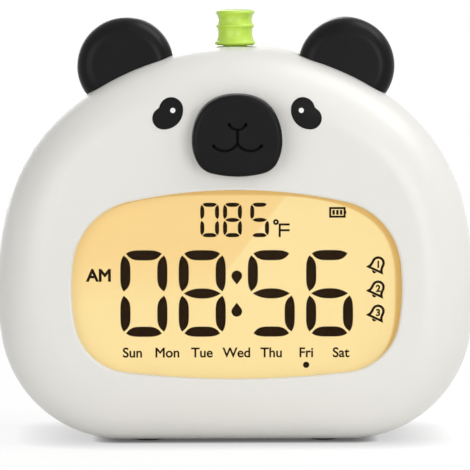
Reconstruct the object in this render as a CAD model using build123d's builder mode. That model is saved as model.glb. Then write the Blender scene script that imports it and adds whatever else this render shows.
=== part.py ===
from build123d import *
import os
from collections import namedtuple
from math import cos, hypot, radians, sin, sqrt

# A panda-faced alarm clock in millimetres: X to the viewer's right, Y to the back, Z up.
# The origin is on the table, under the middle of the clock's box.

# Case
case_width = 140.0
case_height = 115.2
case_depth = 62.0
wall = 2.2
widest_height = 43.2
base_corner_radius = 36.0
base_side_angle = 10.0
shoulder_radius = 55.0
shoulder_side_angle = 12.5
shoulder_crown_angle = 53.0
front_round = 16.0
rear_round = 12.0
hollow_bevel_share = 0.72
cover_depth = 22.5
lip_height = 2.0
lip_thickness = 1.0

# Clearances, and how far a cutter runs past what it cuts
slip_gap = 0.15
run_gap = 0.3
seat_gap = 0.1
overrun = 1.0

# Case screws and the posts they hold
low_case_screw_rise = 19.2
high_case_screw_rise = 73.2
case_post_radius = 3.4
case_well_radius = 4.7
case_head_radius = 2.8
case_head_height = 2.0
case_shank_radius = 1.4
case_shank_length = 13.0
case_well_floor = 5.0

# Small screws
screw_head_radius = 2.1
screw_head_height = 1.3
screw_shank_radius = 0.95
screw_shank_length = 5.0
small_boss_radius = 2.6

# Feet
foot_radius = 3.5
foot_proud = 0.8
foot_recess = 0.5
foot_side_margin = 7.4
front_foot_margin = 5.5
rear_foot_margin = 4.5

# Display window, lens and panel
window_side_margin = 22.0
window_rise = 45.3
window_low = 26.0
window_high = 29.0
window_low_corner = 16.8
window_low_angles = (10.6, 83.3)
window_high_corner = 20.7
window_high_angles = (6.0, 77.6)
window_lip_round = 0.9
lens_recess = 2.0
lens_thickness = 1.5
lens_overlap = 3.0
lcd_air_gap = 0.5
lcd_margin = 1.5
lcd_corner = 10.0
lcd_thickness = 2.8
guide_thickness = 3.0
frame_wall = 2.0
frame_back = 1.2
frame_tab_thickness = 2.0
frame_tab_pitch = 34.0
zebra_side_margin = 13.0
zebra_depth = 2.0
led_reach = 30.0
led_rise = 14.0
led_width = 3.5
led_height = 2.8
led_depth = 1.9

# Main board
board_thickness = 1.6
board_standoff = 2.5
board_side_margin = 2.0
board_height = 46.0
board_screw_inset = 5.0
chip_size = 10.0
chip_height = 1.2

# Muzzle
muzzle_width = 26.0
muzzle_rise = 88.9
muzzle_low = 10.3
muzzle_high = 13.4
muzzle_low_corner = 6.2
muzzle_low_angles = (25.8, 75.4)
muzzle_high_corner = 10.7
muzzle_high_angles = (27.4, 76.9)
muzzle_proud = 7.0
muzzle_seat = 1.2
muzzle_round = 1.3
muzzle_wall = 1.8
muzzle_screw_pitch = 13.0
muzzle_pad_height = 0.8
groove_width = 0.9
groove_depth = 1.0
groove_end_radius = 0.55
nose_half_width = 2.4
nose_drop = 1.5
nose_lift = 3.3
stem_length = 4.0
mouth_half_width = 6.9
mouth_drop = 2.1
mouth_lift = 0.7

# Eyes
eye_spread = 19.2
eye_rise = 97.5
eye_radius = 3.63
eye_tail_radius = 3.34
eye_tail_out = 2.2
eye_tail_drop = 2.3
eye_seat = 1.5
eye_glint_radius = 0.7
eye_glint_in = 0.6

# Ears
ear_radius = 14.2
ear_depth = 19.0
ear_round = 5.0
ear_angle = 24.1
ear_lift = 1.6
ear_set = 21.5
ear_peg_radius = 2.6
ear_peg_sink = 4.0
ear_pad_radius = 4.4
ear_pad_depth = 5.4
ear_screw_head_radius = 3.9
ear_screw_head_height = 1.4
ear_screw_length = 9.0

# Bamboo snooze button and its switch
crest_set = 8.5
bamboo_height = 10.5
bamboo_foot_radius = 6.1
bamboo_ring_radius = 5.7
bamboo_rim_radius = 5.8
bamboo_base_radius = 5.3
bamboo_bead_radius = 0.6
bamboo_bead_angle = 75.0
bamboo_bead_steps = 6
bamboo_waist_depth = 0.32
bamboo_waist_steps = 8
bamboo_spigot_radius = 3.6
bamboo_cup_radius = 4.6
bamboo_cup_share = 0.95
bamboo_ring_shares = (0.075, 0.55, 0.93)
pin_radius = 1.5
pin_length = 3.4
snooze_travel = 1.6
snooze_boss_radius = 8.2
snooze_boss_depth = 3.6
collar_radius = 7.6
collar_thickness = 1.6
stem_radius = 2.4
stem_drop = 4.4
spring_radius = 5.5
spring_wire_radius = 0.4
spring_turns = 5
spring_sides = 6
snooze_board_width = 36.0
snooze_board_depth = 14.0
snooze_screw_pitch = 28.0

# Tact switches and rear keys
switch_size = 6.0
switch_height = 3.5
plunger_radius = 1.7
plunger_proud = 1.9
plunger_well = 2.9
key_travel = 0.6
key_radius = 4.5
key_proud = 1.0
key_flange_radius = 5.8
key_flange_thickness = 1.2
key_stem_radius = 2.0
key_edge = 0.5
key_pitch = 16.0
key_rise = 91.2
key_names = ("mode", "down", "up", "alarm")
key_board_gap = 8.2
key_board_width = 74.0
key_board_height = 18.0
key_board_corner = 6.0
key_screw_pitch = 66.0

# Temperature sensor behind its vents
sensor_radius = 1.3
sensor_lead_radius = 0.3
sensor_lead_pitch = 1.4
sensor_lead_length = 3.0
sensor_drop = 7.5
vent_width = 1.4
vent_height = 5.0
vent_pitch = 3.2
vent_count = 3

# Loudspeaker
speaker_rise = 59.2
speaker_radius = 16.0
speaker_flange = 1.2
speaker_cone_radius = 13.5
speaker_cone_depth = 4.0
speaker_cone_wall = 0.5
speaker_neck_radius = 7.0
speaker_basket_wall = 0.8
magnet_radius = 9.0
magnet_height = 5.0
gasket_thickness = 0.8
gasket_width = 2.0
speaker_ring_wall = 1.4
speaker_screw_head_radius = 3.6
speaker_screw_length = 3.0
speaker_surround = 1.5
speaker_terminal_width = 8.0
speaker_terminal_height = 2.4
speaker_terminal_depth = 1.2
speaker_terminal_drop = 15.0
grille_slot_width = 2.0
grille_pitch = 4.2
grille_count = 7
grille_radius = 13.0

# USB port and its board
usb_rise = 25.0
usb_width = 9.0
usb_height = 3.2
usb_shell = 0.3
usb_set_back = 0.5
usb_floor = 2.5
usb_tongue_width = 6.7
usb_tongue_thickness = 0.7
power_board_width = 34.0
power_board_height = 16.0
power_screw_pitch = 27.0

# Battery
cell_radius = 9.2
cell_length = 65.0
cell_depth = 27.5
tray_wall = 1.6
tray_floor = 1.2
tray_gap = 0.2
tray_lift = 2.0
tray_tab_length = 8.0
tray_tab_width = 10.0
tray_tab_set = 4.0
tray_height = 9.0

# Leads inside the case
lead_radius = 0.9
lead_bend = 4.0
lead_sides = 6
ribbon_width = 10.0
ribbon_thickness = 0.7
ribbon_bend = 4.0
ribbon_x = -26.0
ribbon_low = 12.0
ribbon_turn = 10.0
ribbon_drop = 6.0
battery_lead_out = 6.5
battery_lead_in = 8.0
lead_lift = 1.2
speaker_lead_jog = 12.0
snooze_lead_x = 10.0
snooze_lead_rise = 14.0

right_angle = 90.0
toward_back = Vector(0, 1, 0)
toward_front = Vector(0, -1, 0)
upward = Vector(0, 0, 1)
downward = Vector(0, 0, -1)
seated = (Align.CENTER, Align.CENTER, Align.MIN)
hung = (Align.CENTER, Align.CENTER, Align.MAX)

# Places worked out from the sizes
front_y = (muzzle_proud - case_depth - key_proud) / 2
rear_y = front_y + case_depth
part_y = rear_y - cover_depth
crest_y = part_y - crest_set
base_z = foot_proud
top_z = base_z + case_height
inner_rear_y = rear_y - wall
floor_z = base_z + wall
window_width = case_width - 2 * window_side_margin

Outline = namedtuple("Outline", "half_width wide_z low high low_corner low_angles high_corner high_angles")
case_outline = Outline(
    case_width / 2,
    base_z + widest_height,
    widest_height,
    case_height - widest_height,
    base_corner_radius,
    (base_side_angle, right_angle),
    shoulder_radius,
    (shoulder_side_angle, shoulder_crown_angle),
)
window_outline = Outline(
    window_width / 2,
    base_z + window_rise,
    window_low,
    window_high,
    window_low_corner,
    window_low_angles,
    window_high_corner,
    window_high_angles,
)
muzzle_outline = Outline(
    muzzle_width / 2,
    base_z + muzzle_rise,
    muzzle_low,
    muzzle_high,
    muzzle_low_corner,
    muzzle_low_angles,
    muzzle_high_corner,
    muzzle_high_angles,
)


def quarter(half_width, height, corner, angles):
    """Radius and turn of the arcs from the widest point to the middle, and any flat left over."""
    side_angle, cap_angle = angles
    side_cos, side_sin = cos(radians(side_angle)), sin(radians(side_angle))
    if cap_angle == right_angle:
        side = (height - corner * (1 - side_sin)) / side_sin
        flat = half_width - side * (1 - side_cos) - corner * side_cos
        return [(side, side_angle), (corner, right_angle - side_angle)], flat
    cap_cos, cap_sin = cos(radians(cap_angle)), sin(radians(cap_angle))
    across = half_width - corner * (side_cos - cap_cos)
    along = height - corner * (cap_sin - side_sin)
    spread = (1 - side_cos) * (1 - cap_sin) - cap_cos * side_sin
    side = (across * (1 - cap_sin) - along * cap_cos) / spread
    cap = (along * (1 - side_cos) - across * side_sin) / spread
    turns = (side_angle, cap_angle - side_angle, right_angle - cap_angle)
    return list(zip((side, corner, cap), turns)), 0


def draw_outline(shape, inset=0):
    """Draw a closed outline of tangent arcs, shrunk evenly by inset, in the open BuildLine."""
    half_width = shape.half_width - inset
    upper, _ = quarter(half_width, shape.high - inset, shape.high_corner - inset, shape.high_angles)
    lower, flat = quarter(half_width, shape.low - inset, shape.low_corner - inset, shape.low_angles)
    for arcs, heading in ((upper, 1), (lower, -1)):
        point, direction = Vector(half_width, shape.wide_z), Vector(0, heading)
        for radius, turn in arcs:
            arc = JernArc(point, direction, radius, heading * turn)
            point, direction = arc @ 1, arc % 1
    if flat:
        Line(point, (0, point.Y))
    mirror(about=Plane.YZ)


def front_view(y):
    """The upright plane at depth y, seen from the front, so that extrusions come forward."""
    return Plane.XZ.offset(-y)


def planes(points, direction):
    """A plane at each point, facing the direction."""
    return [Plane(origin=point, z_dir=direction) for point in points]


def mirrored_points(reach, y, heights):
    """Points at both sides of the middle, at each height."""
    return [(side * reach, y, z) for z in heights for side in (-1, 1)]


def screws(places, head_radius, head_height, shank_radius, shank_length):
    """Pan-head screws, each on a plane that faces from its tip to its head."""
    with BuildPart() as group:
        with Locations(*places):
            Cylinder(head_radius, head_height, align=seated)
            Cylinder(shank_radius, shank_length, align=hung)
    return group.part


def small_screws(places, head_radius=screw_head_radius):
    """The screws that hold the inner pieces."""
    return screws(places, head_radius, screw_head_height, screw_shank_radius, screw_shank_length)


def case_block(inset):
    """The case's outline, shrunk by inset and extruded from its back to its front."""
    with BuildPart() as block:
        with BuildSketch(front_view(rear_y - inset)):
            with BuildLine():
                draw_outline(case_outline, inset)
            make_face()
        extrude(amount=case_depth - 2 * inset)
    return block.part


def case_form(inset=0):
    """The pillow form of the case, rounded at the front and back, shrunk evenly by inset."""
    with BuildPart() as form:
        add(case_block(inset))
        fillet(form.faces().sort_by(Axis.Y)[0].edges(), front_round - inset)
        fillet(form.faces().sort_by(Axis.Y)[-1].edges(), rear_round - inset)
    return form.part


def case_hollow():
    """The room inside the case, bevelled at the front and back."""
    with BuildPart() as hollow:
        add(case_block(wall))
        chamfer(hollow.faces().sort_by(Axis.Y)[0].edges(), (front_round - wall) * hollow_bevel_share)
        chamfer(hollow.faces().sort_by(Axis.Y)[-1].edges(), (rear_round - wall) * hollow_bevel_share)
    return hollow.part


case_solid = case_form()
case_cavity = case_hollow()
case_grown = case_form(-seat_gap)

# Depths of the display's layers, from the lens back
lens_y = front_y + lens_recess
lcd_y = lens_y + lens_thickness + lcd_air_gap
guide_y = lcd_y + lcd_thickness
frame_floor_y = guide_y + guide_thickness
frame_back_y = frame_floor_y + frame_back
frame_tab_y = frame_back_y - frame_tab_thickness
board_y = frame_back_y + board_standoff
board_back_y = board_y + board_thickness

# Heights and widths of the display's layers
lcd_width = window_width + 2 * lcd_margin
lcd_height = window_low + window_high + 2 * lcd_margin
lcd_low_z = base_z + window_rise - window_low - lcd_margin
lcd_mid_z = lcd_low_z + lcd_height / 2
frame_width = lcd_width + 2 * (slip_gap + frame_wall)
frame_height = lcd_height + 2 * (slip_gap + frame_wall)
frame_tab_reach = frame_width / 2 + small_boss_radius + run_gap
frame_tab_heights = (lcd_mid_z - frame_tab_pitch / 2, lcd_mid_z + frame_tab_pitch / 2)
board_width = window_width - 2 * board_side_margin
board_mid_z = lcd_low_z + board_height / 2
zebra_width = window_width - 2 * zebra_side_margin
zebra_z = lcd_low_z + slip_gap + zebra_depth / 2

# Where the screws sit
case_screw_reach = frame_width / 2 + run_gap + case_post_radius
case_screw_heights = (base_z + low_case_screw_rise, base_z + high_case_screw_rise)
case_screw_points = mirrored_points(case_screw_reach, part_y, case_screw_heights)
frame_screw_points = mirrored_points(frame_tab_reach, frame_back_y, frame_tab_heights)
board_screw_points = mirrored_points(board_width / 2 - board_screw_inset, board_back_y, (board_mid_z,))
muzzle_z = base_z + muzzle_rise
muzzle_pad_y = front_y + wall + muzzle_pad_height
muzzle_screw_points = mirrored_points(muzzle_screw_pitch / 2, muzzle_pad_y, (muzzle_z,))
muzzle_seat_y = front_y + muzzle_seat
eye_seat_y = front_y + eye_seat

# Crest, snooze button and switch heights
crown_radius = quarter(
    case_outline.half_width, case_outline.high, case_outline.high_corner, case_outline.high_angles
)[0][-1][0]
snooze_boss_z = top_z - snooze_boss_depth
bamboo_z = top_z + run_gap
collar_z = snooze_boss_z - run_gap
stem_end_z = collar_z - collar_thickness - stem_drop
snooze_board_z = stem_end_z - plunger_proud - switch_height
snooze_screw_points = [
    (side * snooze_screw_pitch / 2, crest_y, snooze_board_z - board_thickness) for side in (-1, 1)
]

# Rear board, switch and port places
key_board_y = inner_rear_y - key_board_gap
key_z = base_z + key_rise
key_xs = [(i - (len(key_names) - 1) / 2) * key_pitch for i in range(len(key_names))]
key_screw_points = mirrored_points(key_screw_pitch / 2, key_board_y - board_thickness, (key_z,))
usb_z = base_z + usb_rise
power_screw_points = mirrored_points(power_screw_pitch / 2, key_board_y - board_thickness, (usb_z,))
speaker_z = base_z + speaker_rise
speaker_seat_y = inner_rear_y - gasket_thickness - speaker_flange
speaker_ring_radius = speaker_radius + slip_gap + speaker_ring_wall
speaker_screw_reach = speaker_ring_radius + screw_shank_radius
speaker_screw_points = mirrored_points(speaker_screw_reach, speaker_seat_y, (speaker_z,))
sensor_z = key_z - sensor_drop

_, base_flat = quarter(
    case_outline.half_width, case_outline.low, case_outline.low_corner, case_outline.low_angles
)


def floor_rise(reach):
    """How far the floor inside the case has curved up at a distance from the middle."""
    inner_corner = base_corner_radius - wall
    past_flat = max(0, reach - base_flat)
    return inner_corner - sqrt(inner_corner**2 - past_flat**2)


# Battery places
cell_y = front_y + cell_depth
tray_length = cell_length + 2 * (tray_gap + tray_wall)
tray_z = floor_z + floor_rise(tray_length / 2 + tray_tab_length) + tray_lift
cell_z = tray_z + tray_floor + tray_gap + cell_radius
tray_width = 2 * (cell_radius + tray_gap + tray_wall)
tray_screw_reach = (tray_length + tray_tab_length) / 2
tray_tab_y = cell_y - tray_tab_set
tray_screw_points = [(side * tray_screw_reach, tray_tab_y, tray_z + tray_wall) for side in (-1, 1)]

# Foot places
foot_reach = base_flat - foot_side_margin
foot_depths = (front_y + front_round + front_foot_margin, rear_y - rear_round - rear_foot_margin)
foot_points = [(side * foot_reach, y) for y in foot_depths for side in (-1, 1)]


def at_depth(points, y):
    """The same points, moved to another depth."""
    return [(x, y, z) for x, _, z in points]


def ear_seat(side):
    """Plane on the case's crown where an ear sits, facing straight out of the case."""
    outward = Vector(side * sin(radians(ear_angle)), 0, cos(radians(ear_angle)))
    crown_middle = Vector(0, front_y + ear_set, top_z - crown_radius)
    return Plane(origin=crown_middle + outward * crown_radius, z_dir=outward)


def eye_shape(side, gap=0):
    """Draw an eye, a round patch with a tail lobe, grown by gap, in the open BuildSketch."""
    head = Vector(side * eye_spread, base_z + eye_rise)
    tail = head + Vector(side * eye_tail_out, -eye_tail_drop)
    run = hypot(eye_tail_out, eye_tail_drop)
    along = (tail - head) / run
    across = Vector(along.Y, -along.X) * -side
    lean = (eye_radius - eye_tail_radius) / run
    tangent = along * lean + across * sqrt(1 - lean**2)
    with Locations(head):
        Circle(eye_radius + gap)
    with Locations(tail):
        Circle(eye_tail_radius + gap)
    Polygon(
        head,
        head + tangent * (eye_radius + gap),
        tail + tangent * (eye_tail_radius + gap),
        tail,
        align=None,
    )


def eye_glint(side):
    """Where the eye's white spot shows."""
    return (side * (eye_spread - eye_glint_in), base_z + eye_rise)


def plate(width, height, mid_z, front, thickness, corner=0):
    """An upright plate in the middle, from its front face back, with its corners cut."""
    with BuildPart() as body:
        with BuildSketch(front_view(front + thickness)) as profile:
            with Locations((0, mid_z)):
                Rectangle(width, height)
            if corner:
                chamfer(profile.vertices(), corner)
        extrude(amount=thickness)
    return body.part


# Front shell: posts and bosses that grow from its inner wall
with BuildPart() as front_bosses:
    with Locations(*planes(case_screw_points, toward_back)):
        Cylinder(case_post_radius, part_y - front_y, align=hung)
    with Locations(*planes(at_depth(frame_screw_points, frame_tab_y), toward_back)):
        Cylinder(small_boss_radius, frame_tab_y - front_y, align=hung)
    with Locations(*planes(muzzle_screw_points, toward_back)):
        Cylinder(small_boss_radius, muzzle_pad_y - muzzle_seat_y, align=hung)
    with Locations(ear_seat(-1), ear_seat(1)):
        Cylinder(ear_pad_radius, ear_pad_depth, align=hung)
    with Locations((0, crest_y, top_z)):
        Cylinder(snooze_boss_radius, snooze_boss_depth, align=hung)
    with Locations(*[(x, crest_y, snooze_board_z) for x, _, _ in snooze_screw_points]):
        Cylinder(small_boss_radius, top_z - snooze_board_z, align=seated)
    with Locations(*[(x, y, base_z) for x, y, _ in tray_screw_points]):
        Cylinder(small_boss_radius, tray_z - base_z, align=seated)
    add(case_solid, mode=Mode.INTERSECT)

with BuildPart() as front_shell:
    add(case_solid)
    add(case_cavity, mode=Mode.SUBTRACT)
    add(front_bosses.part)
    split(bisect_by=front_view(part_y), keep=Keep.TOP)
    # Lens seat inside, then the window with a rounded lip
    with BuildSketch(front_view(lcd_y)):
        with BuildLine():
            draw_outline(window_outline, -lens_overlap - slip_gap)
        make_face()
    extrude(amount=lcd_y - lens_y, mode=Mode.SUBTRACT)
    with BuildSketch(front_view(lens_y)):
        with BuildLine():
            draw_outline(window_outline)
        make_face()
    extrude(amount=lens_recess + overrun, mode=Mode.SUBTRACT)
    window_edges = front_shell.edges(Select.LAST)
    fillet(window_edges.filter_by_position(Axis.Y, front_y - seat_gap, front_y + seat_gap), window_lip_round)
    # Pockets for the muzzle and the eyes
    with BuildSketch(front_view(muzzle_seat_y)):
        with BuildLine():
            draw_outline(muzzle_outline, -slip_gap)
        make_face()
    extrude(amount=muzzle_seat + overrun, mode=Mode.SUBTRACT)
    with BuildSketch(front_view(eye_seat_y)):
        for side in (-1, 1):
            eye_shape(side, seat_gap)
        with Locations(eye_glint(-1), eye_glint(1)):
            Circle(eye_glint_radius, mode=Mode.SUBTRACT)
    extrude(amount=eye_seat + overrun, mode=Mode.SUBTRACT)
    # Rebate for the rear cover's lip
    with BuildSketch(front_view(part_y)):
        with BuildLine():
            draw_outline(case_outline, wall - lip_thickness - slip_gap)
        make_face()
        with BuildLine():
            draw_outline(case_outline, wall + overrun)
        make_face(mode=Mode.SUBTRACT)
    extrude(amount=lip_height + slip_gap, mode=Mode.SUBTRACT)
    # Bores for the snooze button, ear pegs and screws
    with Locations((0, crest_y, top_z + overrun)):
        Cylinder(
            bamboo_foot_radius + run_gap,
            snooze_boss_depth + 2 * overrun,
            align=hung,
            mode=Mode.SUBTRACT,
        )
    with Locations(ear_seat(-1).offset(overrun), ear_seat(1).offset(overrun)):
        Cylinder(ear_peg_radius + slip_gap, ear_pad_depth + 2 * overrun, align=hung, mode=Mode.SUBTRACT)
    with Locations(*planes(case_screw_points, toward_back)):
        Cylinder(case_shank_radius + seat_gap, case_shank_length, align=hung, mode=Mode.SUBTRACT)
    with Locations(*planes(at_depth(frame_screw_points, frame_tab_y), toward_back)):
        Cylinder(screw_shank_radius + seat_gap, screw_shank_length, align=hung, mode=Mode.SUBTRACT)
    with Locations(*planes(muzzle_screw_points, toward_back)):
        Cylinder(screw_shank_radius + slip_gap, screw_shank_length, align=hung, mode=Mode.SUBTRACT)
    with Locations(*[(x, crest_y, snooze_board_z) for x, _, _ in snooze_screw_points]):
        Cylinder(screw_shank_radius + seat_gap, screw_shank_length, align=seated, mode=Mode.SUBTRACT)
    with Locations(*[(x, y, tray_z) for x, y, _ in tray_screw_points]):
        Cylinder(
            screw_shank_radius + seat_gap,
            screw_shank_length - tray_wall,
            align=hung,
            mode=Mode.SUBTRACT,
        )
    with Locations(*[(x, y, base_z) for x, y in foot_points[:2]]):
        Cylinder(foot_radius + slip_gap, foot_recess, align=seated, mode=Mode.SUBTRACT)

# Rear cover: wells, bosses and the speaker's ring, then the openings
with BuildPart() as rear_bosses:
    with Locations(*planes(case_screw_points, toward_front)):
        Cylinder(case_well_radius, cover_depth, align=hung)
    with Locations(*planes(at_depth(key_screw_points + power_screw_points, key_board_y), toward_front)):
        Cylinder(small_boss_radius, rear_y - key_board_y, align=hung)
    with Locations(*planes(speaker_screw_points, toward_front)):
        Cylinder(small_boss_radius, rear_y - speaker_seat_y, align=hung)
    with Locations(Plane(origin=(0, speaker_seat_y, speaker_z), z_dir=toward_front)):
        Cylinder(speaker_ring_radius, rear_y - speaker_seat_y, align=hung)
        Cylinder(speaker_radius + slip_gap, inner_rear_y - speaker_seat_y, align=hung, mode=Mode.SUBTRACT)
    add(case_solid, mode=Mode.INTERSECT)

with BuildPart() as rear_cover:
    add(case_solid)
    add(case_cavity, mode=Mode.SUBTRACT)
    add(rear_bosses.part)
    split(bisect_by=front_view(part_y), keep=Keep.BOTTOM)
    with BuildSketch(front_view(part_y)):
        with BuildLine():
            draw_outline(case_outline, wall - lip_thickness)
        make_face()
        with BuildLine():
            draw_outline(case_outline, wall)
        make_face(mode=Mode.SUBTRACT)
    extrude(amount=lip_height)
    # Screw wells from the back
    with Locations(*planes(at_depth(case_screw_points, part_y + case_well_floor), toward_back)):
        Cylinder(case_head_radius + run_gap, case_depth, align=seated, mode=Mode.SUBTRACT)
        Cylinder(case_shank_radius + run_gap, case_well_floor, align=hung, mode=Mode.SUBTRACT)
    # Holes for the keys, sound slots, sensor vents and the port
    with BuildSketch(front_view(rear_y)):
        with Locations(*[(x, key_z) for x in key_xs]):
            Circle(key_radius + run_gap)
        for i in range(grille_count):
            rise = (i - (grille_count - 1) / 2) * grille_pitch
            with Locations((0, speaker_z + rise)):
                SlotOverall(2 * sqrt(grille_radius**2 - rise**2), grille_slot_width)
        with Locations((0, sensor_z)):
            with GridLocations(vent_pitch, vent_height, vent_count, 1):
                Rectangle(vent_width, vent_height)
        with Locations((0, usb_z)):
            SlotOverall(usb_width + 2 * run_gap, usb_height + 2 * run_gap)
    extrude(amount=wall, mode=Mode.SUBTRACT)
    with Locations(*planes(at_depth(key_screw_points + power_screw_points, key_board_y), toward_front)):
        Cylinder(screw_shank_radius + seat_gap, screw_shank_length, align=hung, mode=Mode.SUBTRACT)
    with Locations(*planes(speaker_screw_points, toward_front)):
        Cylinder(
            screw_shank_radius + seat_gap,
            speaker_screw_length + slip_gap,
            align=hung,
            mode=Mode.SUBTRACT,
        )
    with Locations(*[(x, y, base_z) for x, y in foot_points[2:]]):
        Cylinder(foot_radius + slip_gap, foot_recess, align=seated, mode=Mode.SUBTRACT)

# Case screws and feet
case_screws = screws(
    planes(at_depth(case_screw_points, part_y + case_well_floor), toward_back),
    case_head_radius,
    case_head_height,
    case_shank_radius,
    case_shank_length,
)

with BuildPart() as foot_pads:
    with Locations(*[(x, y, 0) for x, y in foot_points]):
        Cylinder(foot_radius, foot_proud + foot_recess, align=seated)

# Muzzle: a hollow rounded cap with two screw bosses and the nose and mouth cut as grooves
muzzle_tip_y = front_y - muzzle_proud


def muzzle_block(inset, depth):
    """The muzzle's outline, shrunk by inset and extruded forward from its seat."""
    with BuildPart() as block:
        with BuildSketch(front_view(muzzle_seat_y)):
            with BuildLine():
                draw_outline(muzzle_outline, inset)
            make_face()
        extrude(amount=depth)
    return block.part


muzzle_hollow = muzzle_block(muzzle_wall, muzzle_seat + muzzle_proud - muzzle_wall)

with BuildPart() as muzzle_bosses:
    with Locations(*planes(at_depth(muzzle_screw_points, muzzle_seat_y), toward_back)):
        Cylinder(small_boss_radius, muzzle_seat + muzzle_proud, align=hung)
    add(muzzle_hollow, mode=Mode.INTERSECT)

with BuildPart() as face_grooves:
    with BuildSketch(front_view(muzzle_tip_y + groove_depth)):
        nose_tip = Vector(0, muzzle_z + nose_lift)
        lip_middle = nose_tip - Vector(0, stem_length)
        with BuildLine():
            Line(nose_tip, lip_middle)
        trace(line_width=groove_width)
        for side in (-1, 1):
            with BuildLine():
                nose_end = nose_tip + Vector(side * nose_half_width, nose_drop)
                TangentArc(nose_tip, nose_end, tangent=(side, 0))
            trace(line_width=groove_width)
            with Locations(nose_end):
                Circle(groove_end_radius)
            with BuildLine():
                cheek_end = lip_middle + Vector(side * mouth_half_width, -mouth_lift)
                cheek_low = (lip_middle + cheek_end) / 2 - Vector(0, mouth_drop - mouth_lift / 2)
                ThreePointArc(lip_middle, cheek_low, cheek_end)
            trace(line_width=groove_width)
            with Locations(cheek_end):
                Circle(groove_end_radius)
    extrude(amount=groove_depth + overrun)

with BuildPart() as muzzle_cap:
    add(muzzle_block(0, muzzle_seat + muzzle_proud))
    fillet(muzzle_cap.faces().sort_by(Axis.Y)[0].edges(), muzzle_round)
    add(muzzle_hollow, mode=Mode.SUBTRACT)
    add(muzzle_bosses.part)
    with Locations(*planes(muzzle_screw_points, toward_back)):
        Cylinder(screw_shank_radius + seat_gap, screw_shank_length + seat_gap, align=hung, mode=Mode.SUBTRACT)
    add(face_grooves.part, mode=Mode.SUBTRACT)

muzzle_screws = small_screws(planes(muzzle_screw_points, toward_back))


def make_eye(side):
    """A black inlay that follows the case's front, with a hole for the white spot."""
    with BuildPart() as eye:
        with BuildSketch(front_view(eye_seat_y)):
            eye_shape(side)
            with Locations(eye_glint(side)):
                Circle(eye_glint_radius + seat_gap, mode=Mode.SUBTRACT)
        extrude(amount=eye_seat + overrun)
        add(case_grown, mode=Mode.INTERSECT)
    return eye.part


def make_ear(side):
    """A round pillow of an ear, cut to the case's crown, with a screw peg beneath."""
    seat = ear_seat(side)
    with BuildPart() as ear:
        with Locations(Plane(origin=seat.origin + seat.z_dir * ear_lift, z_dir=toward_back)):
            Cylinder(ear_radius, ear_depth)
        fillet(ear.edges().filter_by(GeomType.CIRCLE), ear_round)
        add(case_grown, mode=Mode.SUBTRACT)
        with Locations(seat):
            Cylinder(ear_peg_radius, ear_peg_sink, align=seated)
            Cylinder(ear_peg_radius, ear_pad_depth - seat_gap, align=hung)
        with Locations(seat.offset(-ear_pad_depth)):
            Cylinder(
                case_shank_radius + seat_gap,
                ear_screw_length + seat_gap,
                align=seated,
                mode=Mode.SUBTRACT,
            )
    return ear.part


ear_screws = screws(
    [
        Plane(origin=ear_seat(side).offset(-ear_pad_depth).origin, z_dir=-ear_seat(side).z_dir)
        for side in (-1, 1)
    ],
    ear_screw_head_radius,
    ear_screw_head_height,
    case_shank_radius,
    ear_screw_length,
)

# Display: lens, panel, light guide, frame and what feeds them
with BuildPart() as display_lens:
    with BuildSketch(front_view(lens_y + lens_thickness)):
        with BuildLine():
            draw_outline(window_outline, -lens_overlap)
        make_face()
    extrude(amount=lens_thickness)

lcd_panel = plate(lcd_width, lcd_height, lcd_mid_z, lcd_y, lcd_thickness, lcd_corner)
zebra_room = zebra_depth + 2 * slip_gap

with BuildPart() as light_guide:
    add(plate(lcd_width, lcd_height, lcd_mid_z, guide_y, guide_thickness, lcd_corner))
    with Locations((0, guide_y, lcd_low_z)):
        Box(
            lcd_width,
            guide_thickness,
            zebra_room,
            align=(Align.CENTER, Align.MIN, Align.MIN),
            mode=Mode.SUBTRACT,
        )

with BuildPart() as zebra_strip:
    with Locations((0, guide_y, zebra_z)):
        Box(zebra_width, board_y - guide_y, zebra_depth, align=(Align.CENTER, Align.MIN, Align.CENTER))

led_points = mirrored_points(led_reach, board_y, (board_mid_z - led_rise, board_mid_z + led_rise))

with BuildPart() as backlight_leds:
    with Locations(*led_points):
        Box(led_width, led_depth, led_height, align=(Align.CENTER, Align.MAX, Align.CENTER))

frame_pocket = plate(
    lcd_width + 2 * slip_gap,
    lcd_height + 2 * slip_gap,
    lcd_mid_z,
    lcd_y - overrun,
    frame_floor_y - lcd_y + overrun,
    lcd_corner,
)

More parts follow.
